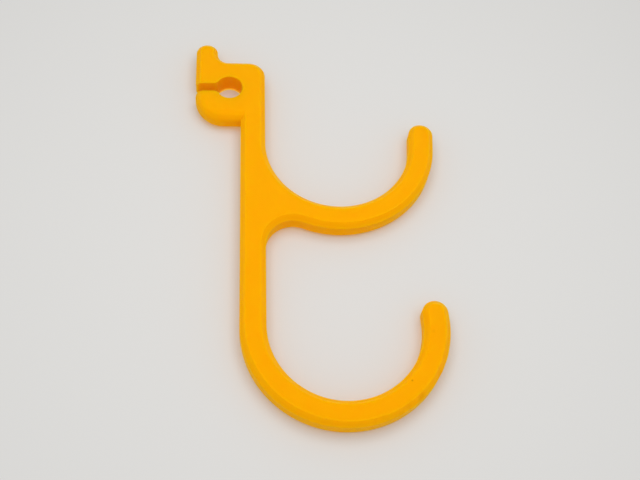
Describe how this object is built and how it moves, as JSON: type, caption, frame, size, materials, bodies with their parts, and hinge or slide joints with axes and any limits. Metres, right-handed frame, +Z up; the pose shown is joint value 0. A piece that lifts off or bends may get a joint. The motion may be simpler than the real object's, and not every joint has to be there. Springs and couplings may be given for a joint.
{
  "type": "double pegboard hook",
  "caption": "Flat printed hook with upward bends one above the other on a straight stem, and a split clip that snaps through a pegboard slot.",
  "frame": {"origin": "middle of the board slot that the clip fills, on the board's front face and in the middle of the hook's thickness", "axes": "+X out of the board towards the user, +Z up the board, Y through the hook's thickness"},
  "size_m": [0.0501, 0.0048, 0.0858],
  "materials": {
    "printed_plastic": "satin yellow-orange printed plastic, with fine layer lines on its edges"
  },
  "bodies": {
    "root": {"double_hook": "printed_plastic"}
  },
  "joints": []
}
